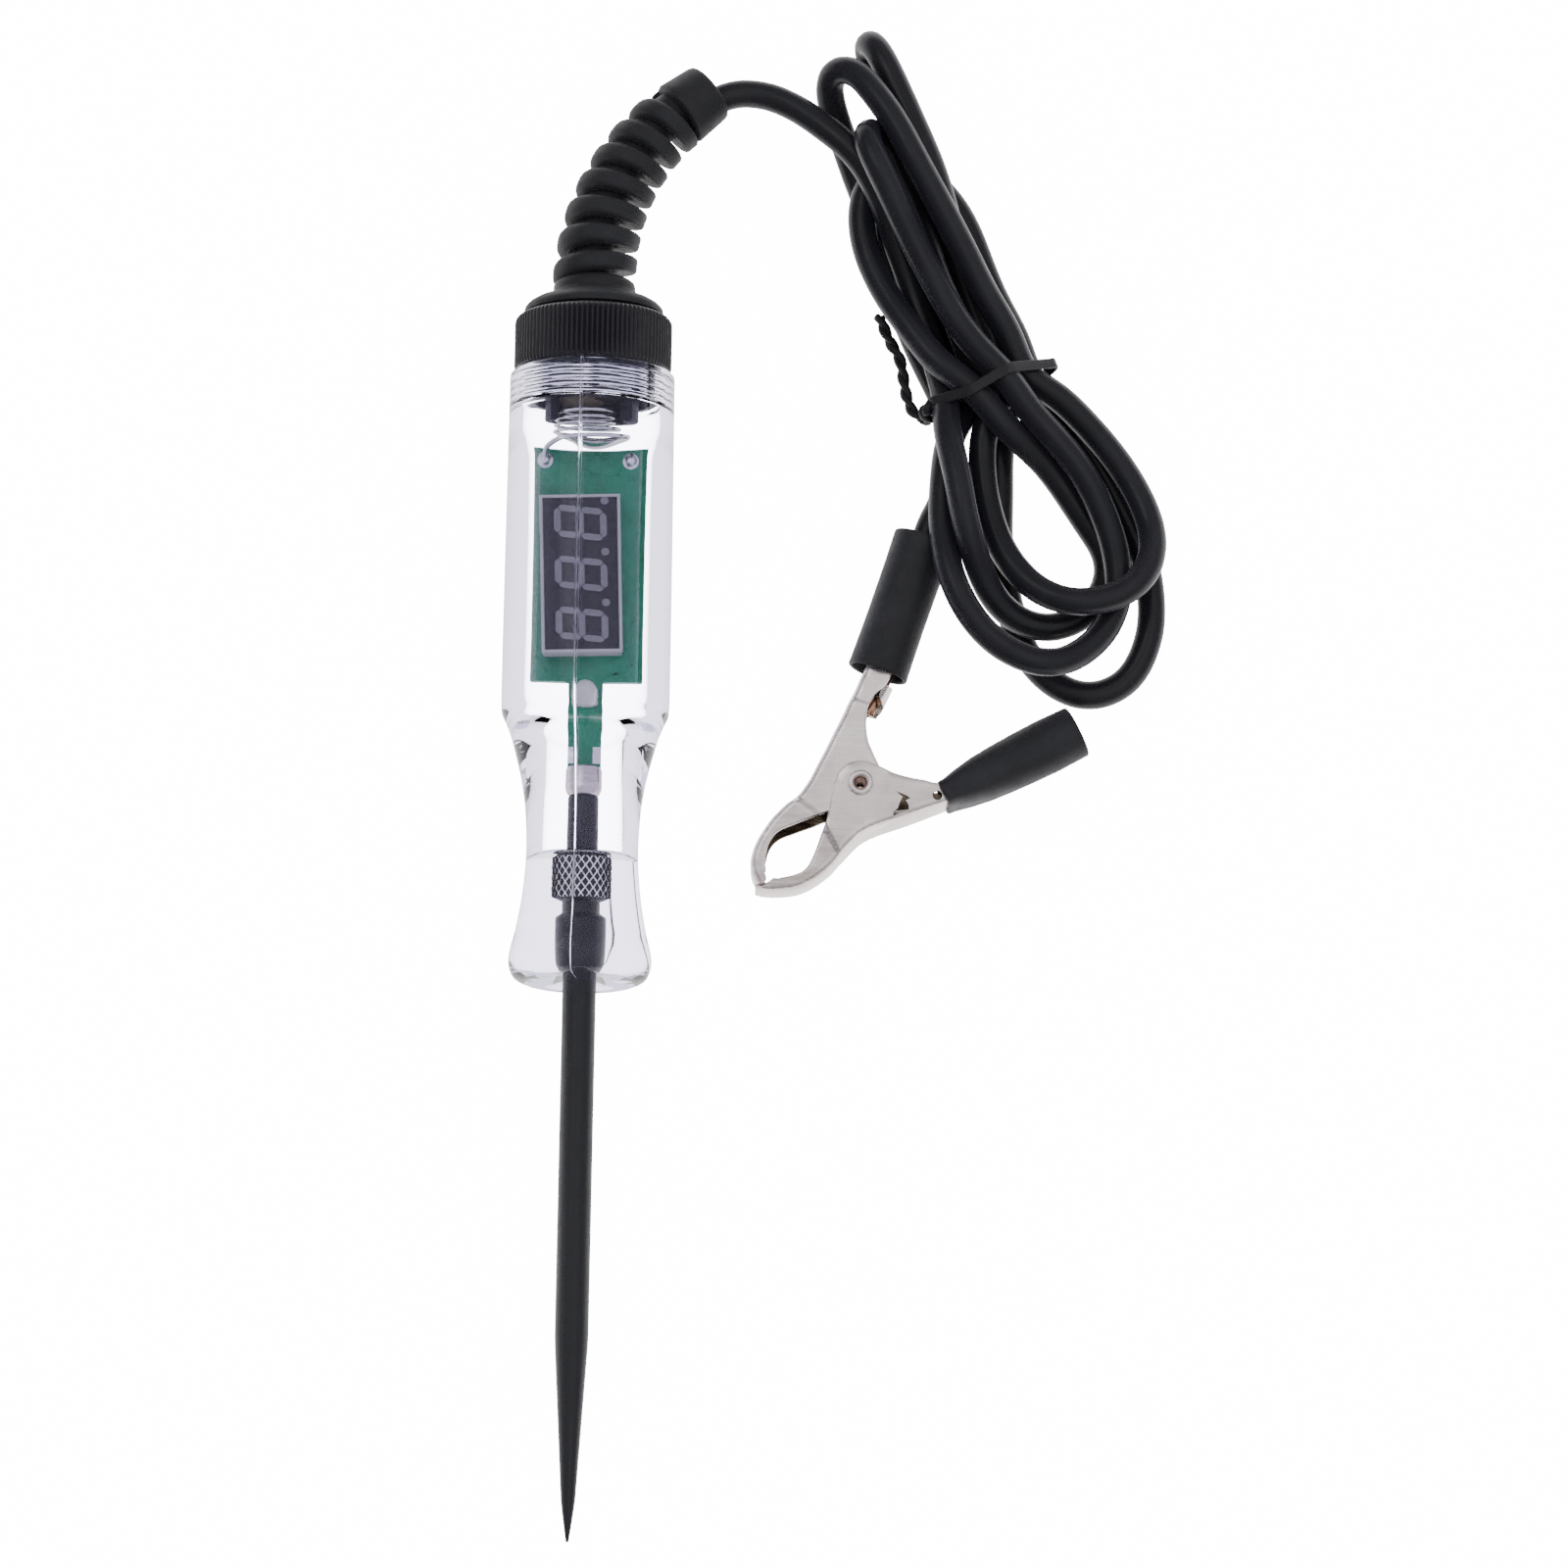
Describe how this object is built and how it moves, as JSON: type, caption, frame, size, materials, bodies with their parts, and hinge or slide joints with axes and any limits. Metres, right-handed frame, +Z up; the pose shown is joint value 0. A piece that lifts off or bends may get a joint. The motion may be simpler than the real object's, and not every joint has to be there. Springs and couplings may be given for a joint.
{
  "type": "circuit test light",
  "caption": "Pen-shaped circuit test light: clear handle with a digital readout and probe rod, and a hanked cord to a sprung ground clip.",
  "frame": {"origin": "on the table under the middle of the pen: half way along it, on its axis in plan", "axes": "+Z up from the table, +Y along the pen from the probe point to the cable end, +X to the side the cord lies on"},
  "size_m": [0.093, 0.2194, 0.0236],
  "materials": {
    "clear_plastic": "clear moulded plastic with a faint violet tint",
    "black_steel": "blackened hardened steel, light scuffs",
    "black_sleeve": "insulating sleeve",
    "nickel": "nickel-plated sheet, fine rolling scratches",
    "board_green": "solder mask over glass-fibre board",
    "solder": "tinned metal",
    "display_grey": "moulded display frame",
    "display_black": "dark display face",
    "segment_grey": "unlit segments",
    "lamp_white": "diffusing lamp body",
    "chip_black": "moulded component body",
    "capacitor_tan": "ceramic component",
    "spring_steel": "bright spring wire",
    "brass_contact": "plain",
    "cap_black": "black moulding, semi-gloss",
    "relief_black": "soft black moulding",
    "cord_black": "satin flexible sheath",
    "copper": "bare stranded conductor",
    "tie_black": "plastic-coated wire tie",
    "boot_black": "soft black sleeve"
  },
  "bodies": {
    "handle": {"handle_shell": "clear_plastic", "probe_rod": "black_steel", "probe_sleeve": "black_sleeve", "probe_terminal": "nickel", "circuit_board": "board_green", "edge_pads": "solder", "display_case": "display_grey", "display_face": "display_black", "display_digits": "segment_grey", "display_pins": "solder", "indicator_lamp": "lamp_white", "solder_joints": "solder", "controller_chip": "chip_black", "controller_legs": "solder", "voltage_regulator": "chip_black", "chip_resistors": "chip_black", "chip_capacitors": "capacitor_tan", "contact_spring": "spring_steel"},
    "cable": {"strain_relief": "relief_black", "cable_contact": "brass_contact", "cord_lead": "cord_black", "cord_hank": "cord_black", "cord_tail": "cord_black", "cord_conductor": "copper", "twist_tie": "tie_black", "clip_jaw_cord": "nickel", "clip_rivet": "nickel", "clip_spring": "spring_steel", "clip_boot_cord": "boot_black"},
    "cap": {"screw_cap": "cap_black"},
    "free_jaw": {"clip_jaw_free": "nickel", "clip_boot_free": "boot_black"}
  },
  "joints": [
    {"name": "cable_slide", "type": "slide", "parent": "handle", "child": "cable", "axis": [0, 1, 0], "range_m": [0, 0.005], "deforming": ["contact_spring"]},
    {"name": "cap_turn", "type": "hinge", "parent": "cable", "child": "cap", "pos_m": [0, 0.08, 0.0118], "axis": [0, 1, 0], "range_deg": [0, 1800]},
    {"name": "clip_open", "type": "hinge", "parent": "cable", "child": "free_jaw", "pos_m": [0.0387, 0.0212, 0.0049], "axis": [0, 0, 1], "range_deg": [0, 30], "stiffness_Nm_per_rad": 0.05, "springref_deg": -34.38, "deforming": ["clip_spring"]}
  ],
  "couplings": [
    {"joint": "cap_turn", "follows": "cable_slide", "rad_per_m": 6283}
  ]
}
